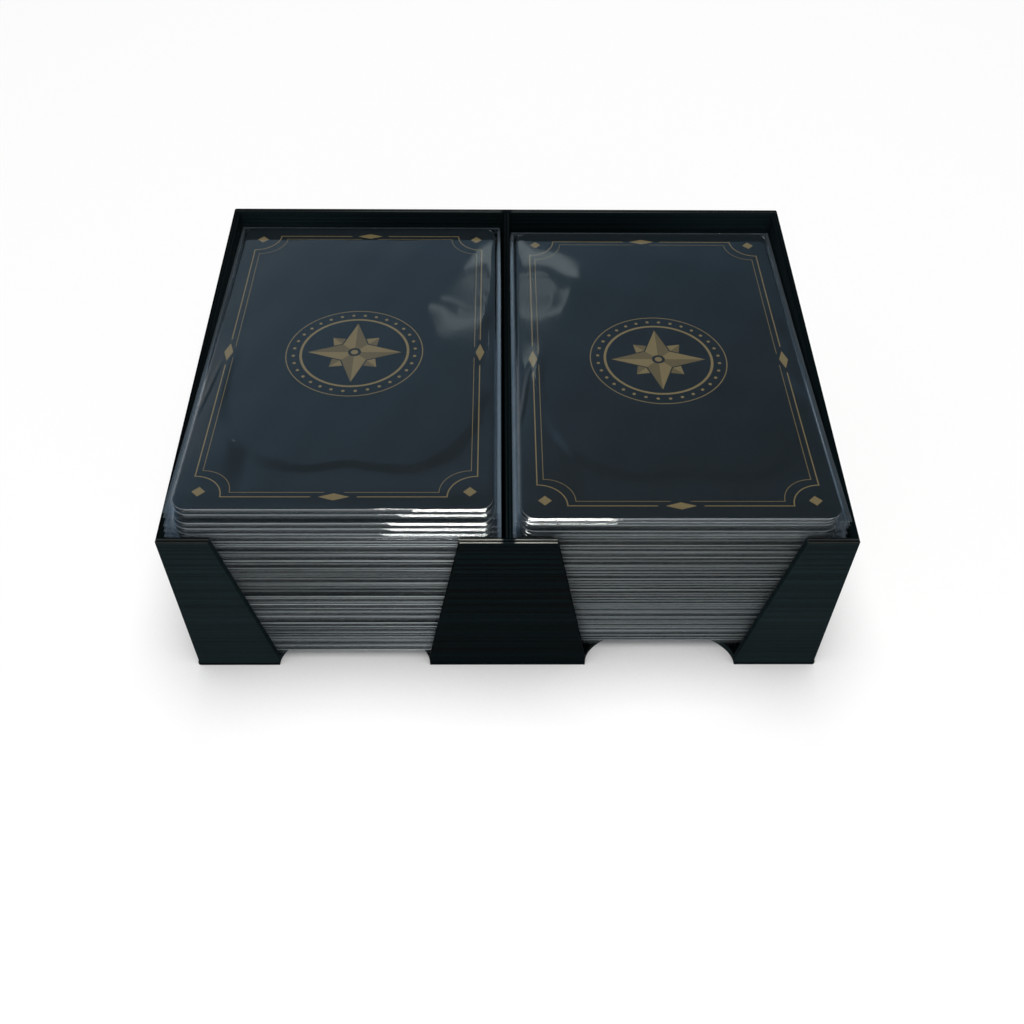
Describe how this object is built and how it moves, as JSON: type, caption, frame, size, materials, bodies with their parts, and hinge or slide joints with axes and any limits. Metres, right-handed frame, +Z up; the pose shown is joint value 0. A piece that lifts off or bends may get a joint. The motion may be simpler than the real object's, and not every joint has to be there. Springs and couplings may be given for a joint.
{
  "type": "card dispenser",
  "caption": "Black printed card tray with a divider, slanted front cut-aways and finger notches in its floor, filled with piles of clear-sleeved dark cards that lift out.",
  "frame": {"origin": "centre of the tray's underside", "axes": "+X to the right across both bays, +Y to the back wall, +Z up"},
  "size_m": [0.1516, 0.1186, 0.0528],
  "materials": {
    "tray_plastic": "black printed plastic with fine layer lines, satin",
    "sleeve_film": "clear glossy film",
    "card_stock": "dark printed card with a grey edge"
  },
  "bodies": {
    "tray": {"tray": "tray_plastic"},
    "left_pile": {"left_pile_sleeves": "sleeve_film", "left_pile_cards": "card_stock"},
    "left_top_5": {"left_sleeve_5": "sleeve_film", "left_card_5": "card_stock"},
    "left_top_4": {"left_sleeve_4": "sleeve_film", "left_card_4": "card_stock"},
    "left_top_3": {"left_sleeve_3": "sleeve_film", "left_card_3": "card_stock"},
    "left_top_2": {"left_sleeve_2": "sleeve_film", "left_card_2": "card_stock"},
    "left_top_1": {"left_sleeve_1": "sleeve_film", "left_card_1": "card_stock"},
    "right_pile": {"right_pile_sleeves": "sleeve_film", "right_pile_cards": "card_stock"},
    "right_top_5": {"right_sleeve_5": "sleeve_film", "right_card_5": "card_stock"},
    "right_top_4": {"right_sleeve_4": "sleeve_film", "right_card_4": "card_stock"},
    "right_top_3": {"right_sleeve_3": "sleeve_film", "right_card_3": "card_stock"},
    "right_top_2": {"right_sleeve_2": "sleeve_film", "right_card_2": "card_stock"},
    "right_top_1": {"right_sleeve_1": "sleeve_film", "right_card_1": "card_stock"}
  },
  "joints": [
    {"name": "left_pile_lift", "type": "slide", "parent": "tray", "child": "left_pile", "axis": [0, 0, 1], "range_m": [0, 0.055]},
    {"name": "left_card_5_lift", "type": "slide", "parent": "left_pile", "child": "left_top_5", "axis": [0, 0, 1], "range_m": [0, 0.02]},
    {"name": "left_card_4_lift", "type": "slide", "parent": "left_top_5", "child": "left_top_4", "axis": [0, 0, 1], "range_m": [0, 0.02]},
    {"name": "left_card_3_lift", "type": "slide", "parent": "left_top_4", "child": "left_top_3", "axis": [0, 0, 1], "range_m": [0, 0.02]},
    {"name": "left_card_2_lift", "type": "slide", "parent": "left_top_3", "child": "left_top_2", "axis": [0, 0, 1], "range_m": [0, 0.02]},
    {"name": "left_card_1_lift", "type": "slide", "parent": "left_top_2", "child": "left_top_1", "axis": [0, 0, 1], "range_m": [0, 0.02]},
    {"name": "right_pile_lift", "type": "slide", "parent": "tray", "child": "right_pile", "axis": [0, 0, 1], "range_m": [0, 0.055]},
    {"name": "right_card_5_lift", "type": "slide", "parent": "right_pile", "child": "right_top_5", "axis": [0, 0, 1], "range_m": [0, 0.02]},
    {"name": "right_card_4_lift", "type": "slide", "parent": "right_top_5", "child": "right_top_4", "axis": [0, 0, 1], "range_m": [0, 0.02]},
    {"name": "right_card_3_lift", "type": "slide", "parent": "right_top_4", "child": "right_top_3", "axis": [0, 0, 1], "range_m": [0, 0.02]},
    {"name": "right_card_2_lift", "type": "slide", "parent": "right_top_3", "child": "right_top_2", "axis": [0, 0, 1], "range_m": [0, 0.02]},
    {"name": "right_card_1_lift", "type": "slide", "parent": "right_top_2", "child": "right_top_1", "axis": [0, 0, 1], "range_m": [0, 0.02]}
  ]
}
